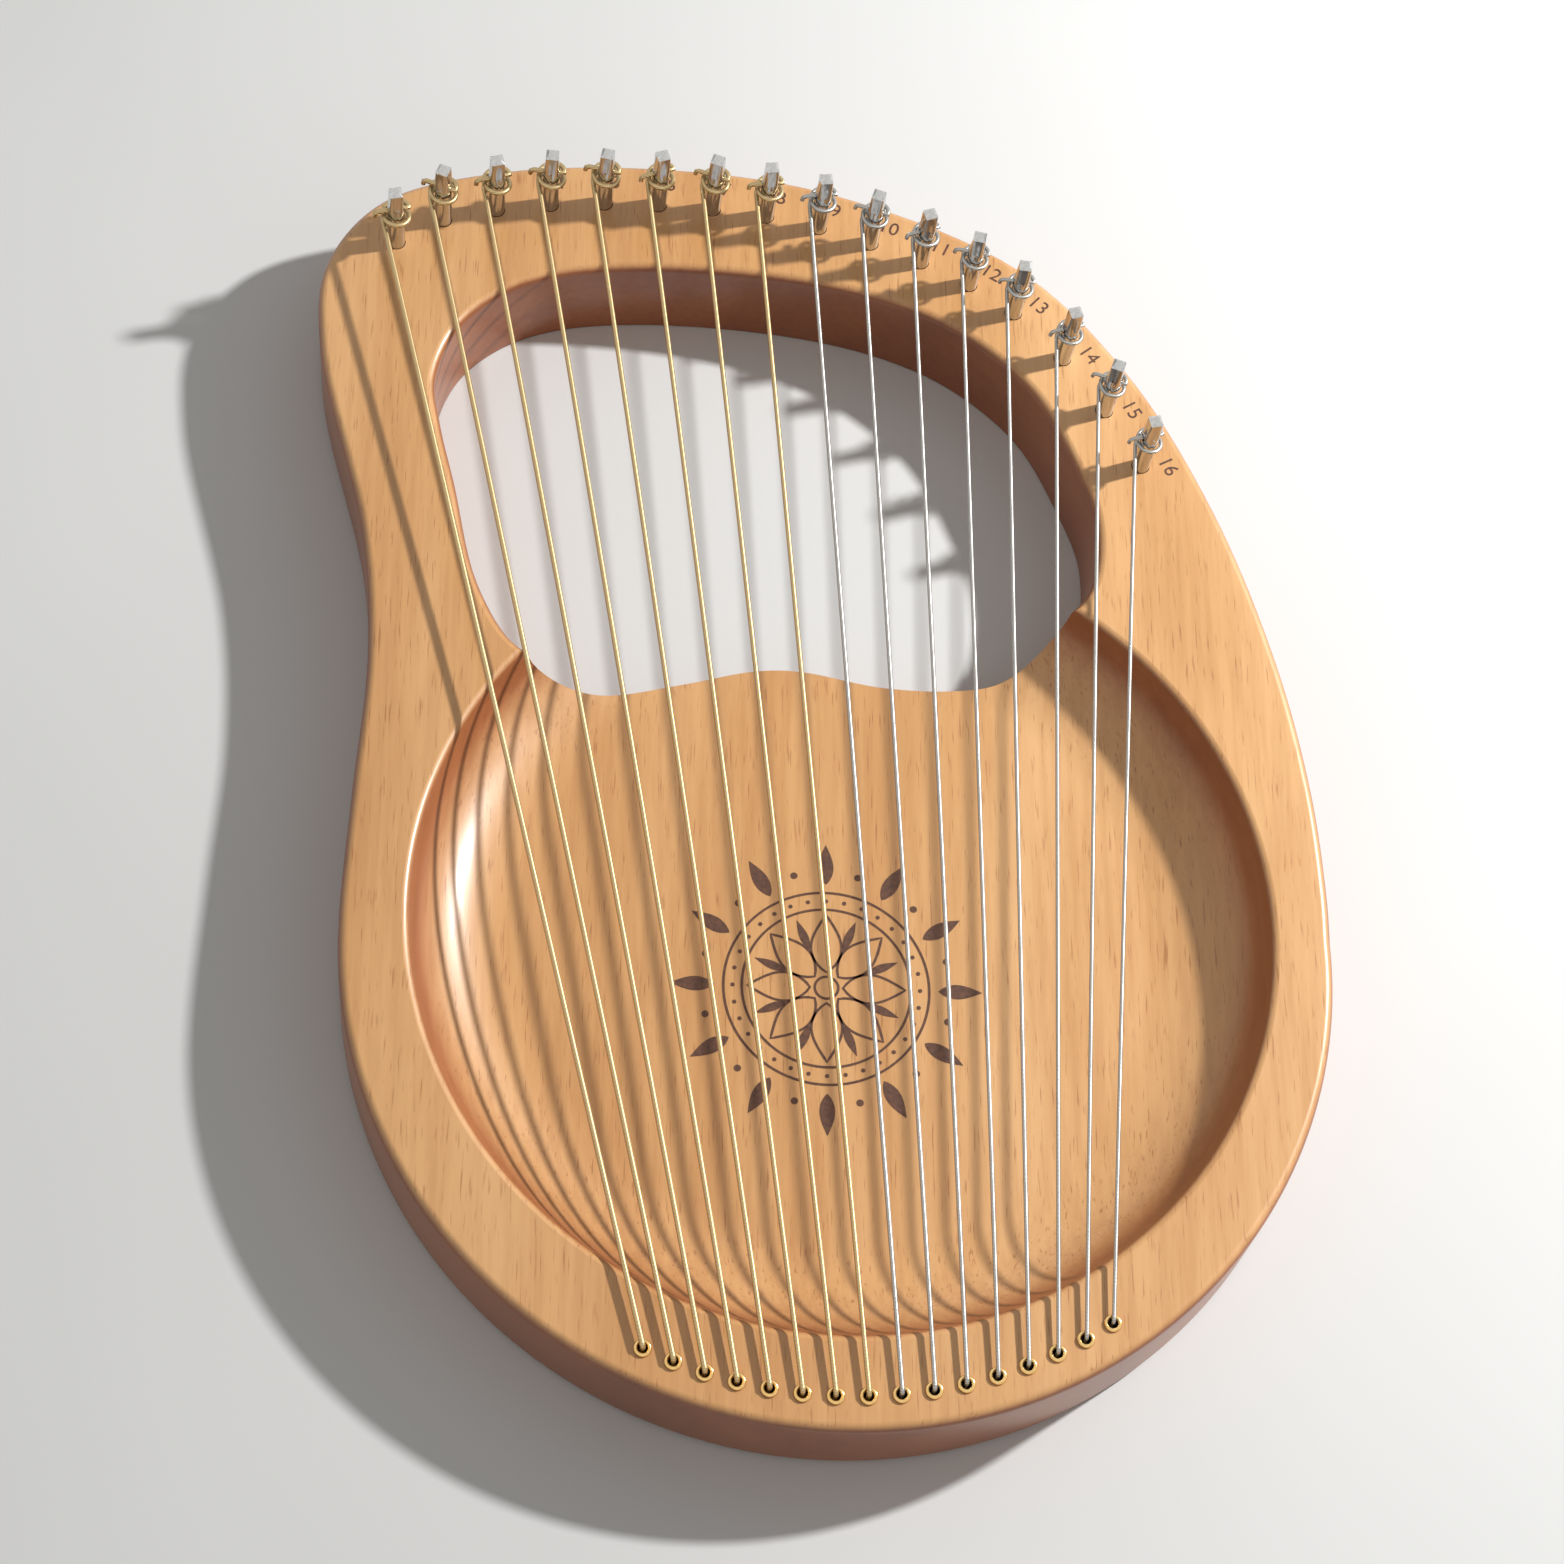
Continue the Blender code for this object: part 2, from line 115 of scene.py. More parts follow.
# A string's tail: its least sweep in degrees on the way up to the cross hole, its places along the
# hole from the pin's axis, and beyond the hole the (place, drop) pairs of its bent tip.
TAIL_LEAST_SWEEP = 40
TAIL_PLACES = (0.0022, 0.0, -0.0028, -0.0052)
TAIL_TIP = ((-0.0060, 0.0006), (-0.0062, 0.0018))

# Fineness of the visible surfaces.
CURVE_STEPS = 9
ARC_PIECES = 120
OPENING_STEPS = 7
EDGE_STEPS = 6
EDGE_ANGLES = (0, 15, 30, 45, 60, 75, 84)
COVE_STEPS = 18
BOWL_SIDES = 192
ROUND_SIDES = 32
PIN_SIDES = 48
LIP_STEPS = 9
BEND_STEPS = 6
COIL_STEPS = 33
TAIL_STEPS = 12
TUBE_FINENESS = 4

# Angles in degrees between two faces past which their edge is shaded sharp.
PLAIN_SHARP = 40
BOARD_SHARP = 32
PIN_SHARP = 25
EYELET_SHARP = 50

# Engraving. Each petal, leaf and lozenge has its inner radius, its outer radius and half its width.
MARK_LIFT = 0.00008
LINE_WIDTH = 0.0007
NUMBER_SIZE = 0.0062
NUMBER_OFFSET = 0.0072
NUMBER_SHIFT = 0.0036
ROSETTE_OFFSET = Vector((-0.002, -0.0054))
RING_RADII = (0.028, 0.023)
RING_SIDES = 96
HUB_RADIUS = 0.0032
HUB_SIDES = 32
PETAL_COUNT = 8
PETAL = (0.0045, 0.0215, 0.0042)
LEAF = (0.012, 0.0212, 0.0012)
LOZENGE = (0.0305, 0.0425, 0.0021)
PETAL_STEPS = 16
PETAL_SKEW = 0.8
BEAD_COUNT = 32
BEAD_RING_RADIUS = 0.0255
BEAD_RADIUS = 0.0006
BEAD_SIDES = 12
BORDER_COUNT = 24
DOT_RING_RADIUS = 0.034
DOT_RADIUS = 0.001
DOT_SIDES = 16

# Wood: the stretch of each texture, and the (position, colour) stops of its ramp.
BROAD_GRAIN = (26.0, 3.0, 26.0)
FACE_COLOURS = [(0.30, (0.58, 0.285, 0.098)), (0.5, (0.68, 0.365, 0.143)), (0.72, (0.76, 0.435, 0.19))]
# The wall colours are painted shade: darker, redder wood where walls, coves and rounded edges turn away
# from facing up.
WALL_SHADE_COLOURS = [(0.30, (0.24, 0.070, 0.022)), (0.72, (0.37, 0.125, 0.042))]
FINE_GRAIN = (420.0, 26.0, 420.0)
FINE_SHADES = [(0.35, (0.86, 0.80, 0.74)), (0.62, (1.0, 1.0, 1.0))]
PORES = (1500.0, 90.0, 1500.0)
PORE_SHADES = [(0.28, (0.62, 0.48, 0.38)), (0.40, (1.0, 1.0, 1.0))]

# The normal's upward share where the wood's painted wall shade begins to give way to its face colour,
# and where only the face colour is left.
FULL_SHADE_SLOPE = 0.45
SHADE_END_SLOPE = 0.995

# Camera, from the centre of the board's round lower half.
CAMERA_OFFSET = Vector((-0.0925, -0.3623, 0.8688))
CAMERA_RIGHT = Vector((0.99586, 0.0, 0.0909))
CAMERA_UP = Vector((-0.03966, 0.89979, 0.4345))
CAMERA_BACK = Vector((-0.0818, -0.4363, 0.8960))
CAMERA_LENS = 79.41
SENSOR_WIDTH = 36.0

# Light, from the part's origin, and the floor.
LIGHT_DIRECTION = Vector((1.163, 0.492, 1.0)).normalized()
LIGHT_DISTANCE = 1.3
LIGHT_SIZE = 0.07
LIGHT_POWER = 20.5
WORLD_COLOUR = (1.0, 0.99, 0.97, 1.0)
WORLD_STRENGTH = 0.34
FLOOR_SIZE = 3.0


def blend(first, second, start, end, place):
    """The point between two points whose curve values are start and end."""
    return first.lerp(second, (place - start) / (end - start))


def curve_point(guides, share):
    """A point on the centripetal Catmull-Rom curve between the middle two of four guides."""
    knots = [0.0]
    for before, after in zip(guides, guides[1:]):
        knots.append(knots[-1] + math.sqrt((after - before).length))
    place = knots[1] + share * (knots[2] - knots[1])
    sides = [blend(guides[i], guides[i + 1], knots[i], knots[i + 1], place) for i in range(3)]
    ends = [blend(sides[i], sides[i + 1], knots[i], knots[i + 2], place) for i in range(2)]
    return blend(ends[0], ends[1], knots[1], knots[2], place)


def smooth_curve(points, steps):
    """Points along the smooth curve from the second given point up to the last but one."""
    result = []
    for index in range(1, len(points) - 2):
        guides = points[index - 1:index + 3]
        for step in range(steps):
            result.append(curve_point(guides, step / steps))
    return result


def on_circle(radius, degrees):
    """A plan point on a circle about the origin."""
    angle = math.radians(degrees)
    return Vector((radius * math.cos(angle), radius * math.sin(angle)))


def swept(degrees, steps):
    """Angles in radians from 0 to the given degrees, in even steps."""
    return [math.radians(degrees * step / steps) for step in range(steps + 1)]


def around(count):
    """Angles in degrees, spread evenly round a circle."""
    return [360 * index / count for index in range(count)]


def scaled_shape(shape):
    """Plan points in metres about the centre of the round lower half."""
    return [Vector((x * BODY_RADIUS, y * HEAD_HEIGHT)) for x, y in shape]


def body_outline(steps, arc_count):
    """The board's outline, anticlockwise, about the centre of the round lower half."""
    guides = [on_circle(BODY_RADIUS, ARC_END - ARC_STEP), on_circle(BODY_RADIUS, ARC_END)]
    guides += scaled_shape(HEAD_SHAPE)
    guides += [on_circle(BODY_RADIUS, ARC_START), on_circle(BODY_RADIUS, ARC_START + ARC_STEP)]
    outline = smooth_curve(guides, steps)
    for index in range(arc_count):
        share = index / arc_count
        outline.append(on_circle(BODY_RADIUS, ARC_START + share * (ARC_END - ARC_START)))
    return outline


def moved_out(outline, distance):
    """An anticlockwise outline moved outwards along its normals."""
    result = []
    for index, point in enumerate(outline):
        tangent = (outline[(index + 1) % len(outline)] - outline[index - 1]).normalized()
        result.append(point + distance * Vector((tangent.y, -tangent.x)))
    return result


def box_centre(outline):
    """The middle of an outline's bounding box."""
    xs = [point.x for point in outline]
    ys = [point.y for point in outline]
    return Vector(((min(xs) + max(xs)) / 2, (min(ys) + max(ys)) / 2))


ROUND_CENTRE = -box_centre(body_outline(FRAME_CURVE_STEPS, round((ARC_END - ARC_START) / ARC_STEP)))


def placed(point, height):
    """A plan point about the round centre, as a point in the part's frame."""
    return Vector((point.x + ROUND_CENTRE.x, point.y + ROUND_CENTRE.y, height))


def node_place(node):
    """The plan point about the round centre where an upright round CAD node stands."""
    low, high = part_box(node)
    return Vector(((low.x + high.x) / 2, (low.y + high.y) / 2)) - ROUND_CENTRE


PINS = [node_place(f"tuning_pin_{number:02d}") for number in range(1, STRING_COUNT + 1)]
EYELETS = [node_place(f"eyelet_{number:02d}") for number in range(1, STRING_COUNT + 1)]


class Shader:
    """A small builder for node materials."""

    def __init__(self, name):
        self.material = bpy.data.materials.new(name)
        self.material.use_nodes = True
        self.nodes = self.material.node_tree.nodes
        self.links = self.material.node_tree.links
        self.surface = self.nodes["Principled BSDF"]

    def link(self, source, target):
        self.links.new(source, target)

    def set(self, name, value):
        self.surface.inputs[name].default_value = value

    def place(self, scale):
        """Object coordinates stretched by scale."""
        coordinates = self.nodes.new("ShaderNodeTexCoord")
        mapping = self.nodes.new("ShaderNodeMapping")
        mapping.inputs["Scale"].default_value = scale
        self.link(coordinates.outputs["Object"], mapping.inputs["Vector"])
        return mapping.outputs["Vector"]

    def noise(self, scale, detail=4.0, distortion=0.0):
        """Noise over stretched object coordinates."""
        texture = self.nodes.new("ShaderNodeTexNoise")
        texture.inputs["Scale"].default_value = 1.0
        texture.inputs["Detail"].default_value = detail
        texture.inputs["Distortion"].default_value = distortion
        self.link(self.place(scale), texture.inputs["Vector"])
        return texture.outputs["Fac"]

    def ramp(self, value, stops):
        """A colour ramp with (position, colour) stops in order of position."""
        node = self.nodes.new("ShaderNodeValToRGB")
        elements = node.color_ramp.elements
        elements[0].position = stops[0][0]
        elements[1].position = stops[-1][0]
        for stop in stops[1:-1]:
            elements.new(stop[0])
        for element, stop in zip(elements, stops):
            element.color = (*stop[1], 1.0)
        self.link(value, node.inputs["Fac"])
        return node.outputs["Color"]

    def mix(self, factor, first, second, mode='MIX'):
        """Mix two colours by a factor, which is a number or another node's output."""
        node = self.nodes.new("ShaderNodeMix")
        node.data_type = 'RGBA'
        node.blend_type = mode
        if isinstance(factor, float):
            node.inputs["Factor"].default_value = factor
        else:
            self.link(factor, node.inputs["Factor"])
        self.link(first, node.inputs["A"])
        self.link(second, node.inputs["B"])
        return node.outputs["Result"]

    def spread(self, value, low, high):
        """Map a value from 0..1 to low..high."""
        node = self.nodes.new("ShaderNodeMapRange")
        node.inputs["To Min"].default_value = low
        node.inputs["To Max"].default_value = high
        self.link(value, node.inputs["Value"])
        return node.outputs["Result"]

    def facing_up(self, low, high):
        """How far the surface faces up, eased from 0 at an upward share of low to 1 at high."""
        geometry = self.nodes.new("ShaderNodeNewGeometry")
        parts = self.nodes.new("ShaderNodeSeparateXYZ")
        self.link(geometry.outputs["Normal"], parts.inputs["Vector"])
        slope = self.nodes.new("ShaderNodeMapRange")
        slope.interpolation_type = 'SMOOTHSTEP'
        slope.inputs["From Min"].default_value = low
        slope.inputs["From Max"].default_value = high
        self.link(parts.outputs["Z"], slope.inputs["Value"])
        return slope.outputs["Result"]

    def bump(self, value, distance, strength):
        """Bump the surface by a value."""
        node = self.nodes.new("ShaderNodeBump")
        node.inputs["Strength"].default_value = strength
        node.inputs["Distance"].default_value = distance
        self.link(value, node.inputs["Height"])
        self.link(node.outputs["Normal"], self.surface.inputs["Normal"])


def wood_material():
    """Lacquered light hardwood: fine upright grain and pores, with painted shade making the walls darker
    than the face.
    """
    shader = Shader("lacquered_hardwood")
    broad = shader.noise(BROAD_GRAIN, detail=5.0, distortion=0.6)
    fine = shader.noise(FINE_GRAIN, detail=6.0)
    pores = shader.noise(PORES, detail=2.0)
    grain = shader.ramp(fine, FINE_SHADES)
    face = shader.mix(0.75, shader.ramp(broad, FACE_COLOURS), grain, 'MULTIPLY')
    face = shader.mix(0.8, face, shader.ramp(pores, PORE_SHADES), 'MULTIPLY')
    # Painted shade: walls and coves take the darker wall colour by how far they turn from facing up.
    shaded_wall = shader.mix(0.8, shader.ramp(broad, WALL_SHADE_COLOURS), grain, 'MULTIPLY')
    colour = shader.mix(shader.facing_up(FULL_SHADE_SLOPE, SHADE_END_SLOPE), shaded_wall, face)
    shader.link(colour, shader.surface.inputs["Base Color"])
    shader.link(shader.spread(fine, 0.30, 0.46), shader.surface.inputs["Roughness"])
    shader.set("Coat Weight", 0.35)
    shader.set("Coat Roughness", 0.22)
    shader.bump(pores, distance=0.00006, strength=0.35)
    return shader.material


def metal_material(name, colour, dark, roughness, streaks):
    """Plated metal with fine rubbed streaks."""
    shader = Shader(name)
    rubbed = shader.noise(streaks)
    shade = shader.ramp(rubbed, [(0.25, dark), (0.7, colour)])
    shader.link(shade, shader.surface.inputs["Base Color"])
    shader.link(shader.spread(rubbed, roughness * 0.7, roughness * 1.5), shader.surface.inputs["Roughness"])
    shader.set("Metallic", 1.0)
    shader.bump(rubbed, distance=0.00002, strength=0.2)
    return shader.material


def winding_material(name, colour, dark, roughness):
    """Fine wire wound round a string's core, seen as close bands with painted shade between the turns."""
    shader = Shader(name)
    bands = shader.nodes.new("ShaderNodeTexWave")
    bands.wave_type = 'BANDS'
    bands.bands_direction = 'Y'
    bands.inputs["Scale"].default_value = 1.0
    shader.link(shader.place((900.0, 900.0, 900.0)), bands.inputs["Vector"])
    # The dark end of this ramp is painted shade in the grooves between the wire's turns.
    shade = shader.ramp(bands.outputs["Fac"], [(0.0, dark), (0.6, colour)])
    shader.link(shade, shader.surface.inputs["Base Color"])
    rubbed = shader.noise((300.0, 30.0, 300.0))
    shader.link(shader.spread(rubbed, roughness * 0.8, roughness * 1.4), shader.surface.inputs["Roughness"])
    shader.set("Metallic", 0.85)
    shader.bump(bands.outputs["Fac"], distance=0.00004, strength=0.4)
    return shader.material


def engraving_material():
    """Dark burnt lines, a little uneven."""
    shader = Shader("burnt_engraving")
    patchy = shader.noise((800.0, 800.0, 800.0), detail=3.0)
    shade = shader.ramp(patchy, [(0.3, (0.055, 0.018, 0.008)), (0.7, (0.13, 0.05, 0.022))])
    shader.link(shade, shader.surface.inputs["Base Color"])
    shader.set("Roughness", 0.6)
    shader.bump(patchy, distance=0.00003, strength=0.3)
    return shader.material


def floor_material():
    """Plain pale floor."""
    shader = Shader("pale_floor")
    cloudy = shader.noise((4.0, 4.0, 4.0), detail=2.0)
    shade = shader.ramp(cloudy, [(0.3, (0.70, 0.70, 0.69)), (0.7, (0.74, 0.74, 0.73))])
    shader.link(shade, shader.surface.inputs["Base Color"])
    shader.set("Roughness", 0.8)
    return shader.material


def add_rings(mesh, rings, closed=False):
    """Join rings of points into a skin, with flat end caps unless it closes on itself."""
    loops = [[mesh.verts.new(point) for point in ring] for ring in rings]
    pairs = list(zip(loops, loops[1:]))
    if closed:
        pairs.append((loops[-1], loops[0]))
    else:
        mesh.faces.new(loops[0])
        mesh.faces.new(loops[-1])
    for lower, upper in pairs:
        count = len(lower)
        for index in range(count):
            after = (index + 1) % count
            mesh.faces.new((lower[index], lower[after], upper[after], upper[index]))


def turned_rings(profile, sides, centre=Vector((0.0, 0.0, 0.0))):
    """Rings of a turned shape about a vertical axis, from (radius, height) pairs."""
    rings = []
    for radius, height in profile:
        plan = [on_circle(radius, 360 * (index + 0.5) / sides) for index in range(sides)]
        rings.append([centre + Vector((point.x, point.y, height)) for point in plan])
    return rings


def shade(data, sharp):
    """Shade a mesh smooth, but for edges sharper than an angle in degrees."""
    data.shade_smooth()
    data.set_sharp_from_angle(angle=math.radians(sharp))


def mesh_data(name, mesh, sharp=PLAIN_SHARP):
    """Finish a bmesh as smooth mesh data with its faces pointing out."""
    bmesh.ops.recalc_face_normals(mesh, faces=mesh.faces)
    data = bpy.data.meshes.new(name)
    mesh.to_mesh(data)
    mesh.free()
    shade(data, sharp)
    return data


def add_object(name, data, material=None):
    """Add an object with the given data to the scene."""
    item = bpy.data.objects.new(name, data)
    bpy.context.scene.collection.objects.link(item)
    if material and not data.materials:
        data.materials.append(material)
    return item


def finish_piece(item, body, slot, *nodes):
    """Ride a body and stand for the CAD nodes, which are hidden; the slot is not used."""
    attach(item, body)
    if nodes:
        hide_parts(*nodes)


def cut_away(target, mesh):
    """Cut a closed shape out of a target's mesh for good."""
    cutter = add_object("cutter", mesh_data("cutter", mesh))
    cut = target.modifiers.new("cut", 'BOOLEAN')
    cut.operation = 'DIFFERENCE'
    cut.solver = 'EXACT'
    cut.object = cutter
    depsgraph = bpy.context.evaluated_depsgraph_get()
    data = bpy.data.meshes.new_from_object(target.evaluated_get(depsgraph))
    target.modifiers.clear()
    target.data = data
    bpy.data.objects.remove(cutter)


def finish_cut(data, sharp, material):
    """Shade a cut mesh and give it its one material."""
    shade(data, sharp)
    data.materials.clear()
    data.materials.append(material)


def edge_flare():
    """How far a rounded edge stands back from the wall, and its height above the face."""
    flare = []
    for degrees in EDGE_ANGLES:
        angle = math.radians(degrees)
        flare.append((EDGE_ROUND * (1 - math.cos(angle)), EDGE_ROUND * (math.sin(angle) - 1)))
    flare.append((FLARE_REACH * EDGE_ROUND, FLARE_RISE * EDGE_ROUND))
    return flare


def board_rings(outline):
    """Rings of the uncut board with both edges rounded."""
    quarter = swept(90, EDGE_STEPS)
    middle = BODY_THICKNESS / 2
    rings = []
    for side, angles in ((-1, quarter[::-1]), (1, quarter)):
        for angle in angles:
            inset = EDGE_ROUND * (1 - math.cos(angle))
            height = middle + side * (middle - EDGE_ROUND * (1 - math.sin(angle)))
            rings.append([placed(point, height) for point in moved_out(outline, -inset)])
    return rings


def opening_mesh():
    """The space of the hand opening."""
    points = scaled_shape(OPENING_SHAPE)
    outline = smooth_curve([points[-1]] + points + points[:2], OPENING_STEPS)
    rings = [[placed(point, -CUT_MARGIN) for point in outline]]
    for offset, rise in edge_flare():
        rings.append([placed(point, BODY_THICKNESS + rise) for point in moved_out(outline, offset)])
    mesh = bmesh.new()
    add_rings(mesh, rings)
    return mesh


def bowl_mesh():
    """The space of the bowl."""
    profile = []
    for angle in swept(COVE_ANGLE, COVE_STEPS):
        radius = BOWL_RADIUS - COVE_WIDTH * (1 - math.sin(angle))
        profile.append((radius, BODY_THICKNESS - BOWL_DEPTH * math.cos(angle)))
    for offset, rise in edge_flare():
        profile.append((BOWL_RADIUS + offset, BODY_THICKNESS + rise))
    mesh = bmesh.new()
    add_rings(mesh, turned_rings(profile, BOWL_SIDES, placed(BOWL_OFFSET, 0.0)))
    return mesh


def holes_mesh():
    """The pin holes and the stepped string holes."""
    mesh = bmesh.new()
    pin_profile = [(PIN_RADIUS + CLEARANCE / 2, BODY_THICKNESS - PIN_DEPTH - CLEARANCE),
                   (PIN_RADIUS + CLEARANCE / 2, BODY_THICKNESS + CUT_MARGIN)]
    for place in PINS:
        add_rings(mesh, turned_rings(pin_profile, ROUND_SIDES, placed(place, 0.0)))
    seat = SLEEVE_RADIUS + CLEARANCE
    seat_bottom = BODY_THICKNESS - SLEEVE_DEPTH - CLEARANCE
    string_profile = [
        (COUNTERBORE_RADIUS, -CUT_MARGIN), (COUNTERBORE_RADIUS, COUNTERBORE_DEPTH),
        (BORE_RADIUS, COUNTERBORE_DEPTH), (BORE_RADIUS, seat_bottom),
        (seat, seat_bottom), (seat, BODY_THICKNESS + CUT_MARGIN),
    ]
    for place in EYELETS:
        add_rings(mesh, turned_rings(string_profile, ROUND_SIDES, placed(place, 0.0)))
    return mesh


def make_board(wood):
    """The carved board."""
    mesh = bmesh.new()
    add_rings(mesh, board_rings(body_outline(CURVE_STEPS, ARC_PIECES)))
    board = add_object("carved_board", mesh_data("carved_board", mesh))
    for cutter in (opening_mesh(), bowl_mesh(), holes_mesh()):
        cut_away(board, cutter)
    finish_cut(board.data, BOARD_SHARP, wood)
    even = board.modifiers.new("even_shading", 'WEIGHTED_NORMAL')
    even.keep_sharp = True
    finish_piece(board, "harp", "wood", "body")


def squared_ring(width, height):
    """A ring of the pin's square head, whose corners keep the round pin's radius."""
    ring = []
    for index in range(PIN_SIDES):
        degrees = 360 * (index + 0.5) / PIN_SIDES
        angle = math.radians(degrees)
        flat = width / 2 / max(abs(math.cos(angle)), abs(math.sin(angle)))
        point = on_circle(min(PIN_RADIUS, flat), degrees)
        ring.append(Vector((point.x, point.y, height)))
    return ring


def pin_mesh(material):
    """One tuning pin with its cross hole, standing on the face at height 0."""
    profile = [(PIN_RADIUS - PIN_FOOT_BEVEL, -PIN_DEPTH), (PIN_RADIUS, -PIN_DEPTH + PIN_FOOT_BEVEL),
               (PIN_RADIUS, PIN_ROUND_HEIGHT)]
    rings = turned_rings(profile, PIN_SIDES)
    rings.append(squared_ring(HEAD_WIDTH, PIN_ROUND_HEIGHT + PIN_SHOULDER))
    rings.append(squared_ring(HEAD_TIP_WIDTH, PIN_HEIGHT - PIN_TOP_BEVEL))
    rings.append(squared_ring(HEAD_TIP_WIDTH - 2 * PIN_TOP_BEVEL, PIN_HEIGHT))
    mesh = bmesh.new()
    add_rings(mesh, rings)
    blank = add_object("pin_blank", mesh_data("pin_blank", mesh))
    hole = bmesh.new()
    radius = WOUND_DIAMETERS[0] / 2 + CLEARANCE
    reach = PIN_RADIUS + CUT_MARGIN
    add_rings(hole, turned_rings([(radius, -reach), (radius, reach)], ROUND_SIDES))
    across = Matrix.Translation((0.0, 0.0, PIN_HOLE_HEIGHT)) @ Matrix.Rotation(math.pi / 2, 4, 'Y')
    bmesh.ops.transform(hole, matrix=across, verts=hole.verts)
    cut_away(blank, hole)
    data = blank.data
    bpy.data.objects.remove(blank)
    finish_cut(data, PIN_SHARP, material)
    return data


def pin_turn(number):
    """The angle in degrees at which a pin was left, uneven from pin to pin."""
    return PIN_TURN_SPREAD * math.sin(PIN_TURN_RATE * number)


def make_pins(nickel):
    """The tuning pins."""
    data = pin_mesh(nickel)
    for number, place in enumerate(PINS, start=1):
        pin = add_object(f"nickel_pin_{number:02d}", data)
        pin.location = placed(place, BODY_THICKNESS)
        pin.rotation_euler = (0.0, 0.0, math.radians(pin_turn(number)))
        finish_piece(pin, f"pin_{number:02d}", "nickel", f"tuning_pin_{number:02d}")


def make_eyelets(brass):
    """Brass eyelets with a domed lip."""
    under_lip = BODY_THICKNESS + CLEARANCE
    bottom = BODY_THICKNESS - SLEEVE_DEPTH
    middle = (LIP_RADIUS + BORE_RADIUS) / 2
    half = (LIP_RADIUS - BORE_RADIUS) / 2
    profile = [(BORE_RADIUS, bottom), (SLEEVE_RADIUS, bottom), (SLEEVE_RADIUS, under_lip)]
    for angle in swept(180, LIP_STEPS):
        profile.append((middle + half * math.cos(angle), under_lip + LIP_HEIGHT * math.sin(angle)))
    mesh = bmesh.new()
    add_rings(mesh, turned_rings(profile, ROUND_SIDES), closed=True)
    data = mesh_data("brass_eyelet", mesh, EYELET_SHARP)
    for number, place in enumerate(EYELETS, start=1):
        eyelet = add_object(f"brass_eyelet_{number:02d}", data, brass)
        eyelet.location = placed(place, 0.0)
        finish_piece(eyelet, "harp", "brass", f"eyelet_{number:02d}")


def string_radius(number):
    """Half a string's diameter, which falls from left to right within each kind."""
    if number <= WOUND_STRINGS:
        share = (number - 1) / (WOUND_STRINGS - 1)
        return (WOUND_DIAMETERS[0] + share * (WOUND_DIAMETERS[1] - WOUND_DIAMETERS[0])) / 2
    share = (number - WOUND_STRINGS - 1) / (STRING_COUNT - WOUND_STRINGS - 1)
    return (PLAIN_DIAMETERS[0] + share * (PLAIN_DIAMETERS[1] - PLAIN_DIAMETERS[0])) / 2


def tube(name, route, radius, material):
    """A smooth round tube along (point, thickness) pairs."""
    curve = bpy.data.curves.new(name, 'CURVE')
    curve.dimensions = '3D'
    curve.bevel_depth = radius
    curve.bevel_resolution = TUBE_FINENESS
    curve.use_fill_caps = True
    spline = curve.splines.new('POLY')
    spline.points.add(len(route) - 1)
    for item, (point, thickness) in zip(spline.points, route):
        item.co = (*point, 1.0)
        item.radius = thickness / radius
    return add_object(name, curve, material)


def ball_end(foot, radius):
    """Route points of the ball end in its counterbore."""
    top = COUNTERBORE_DEPTH - CLEARANCE
    bottom = top - BALL_LENGTH
    shrunk = BALL_RADIUS - 2 * BALL_ROUND
    return [
        (placed(foot, bottom), shrunk), (placed(foot, bottom + BALL_ROUND), BALL_RADIUS),
        (placed(foot, top - BALL_ROUND), BALL_RADIUS), (placed(foot, top), shrunk),
        (placed(foot, COUNTERBORE_DEPTH), radius),
    ]


def winding(number):
    """A string's direction in plan, and the radius and first angle of its turn round the pin."""
    offset = PINS[number - 1] - EYELETS[number - 1]
    coil_radius = (PIN_RADIUS + CLEARANCE + string_radius(number)) / math.cos(math.pi / FRAME_COIL_POINTS)
    heading = Matrix.Rotation(math.asin(coil_radius / offset.length), 2) @ offset.normalized()
    return heading, coil_radius, math.degrees(math.atan2(heading.x, -heading.y))


def run_route(number):
    """A string's route from its ball end up to the end of its turn round the pin."""
    radius = string_radius(number)
    foot = EYELETS[number - 1]
    pin = PINS[number - 1]
    heading, coil_radius, start = winding(number)
    start_height = BODY_THICKNESS + LIP_HEIGHT + 2 * CLEARANCE + radius
    end_height = BODY_THICKNESS + STRING_HEIGHT_AT_PIN
    route = ball_end(foot, radius)
    for angle in swept(90, BEND_STEPS):
        along = foot + heading * STRING_BEND * (1 - math.cos(angle))
        route.append((placed(along, start_height - STRING_BEND * (1 - math.sin(angle))), radius))
    for step in range(COIL_STEPS + 1):
        turn = COIL_TURNS * step / COIL_STEPS
        point = pin + on_circle(coil_radius, start - 360 * turn)
        route.append((placed(point, end_height + COIL_PITCH * turn), radius))
    return route


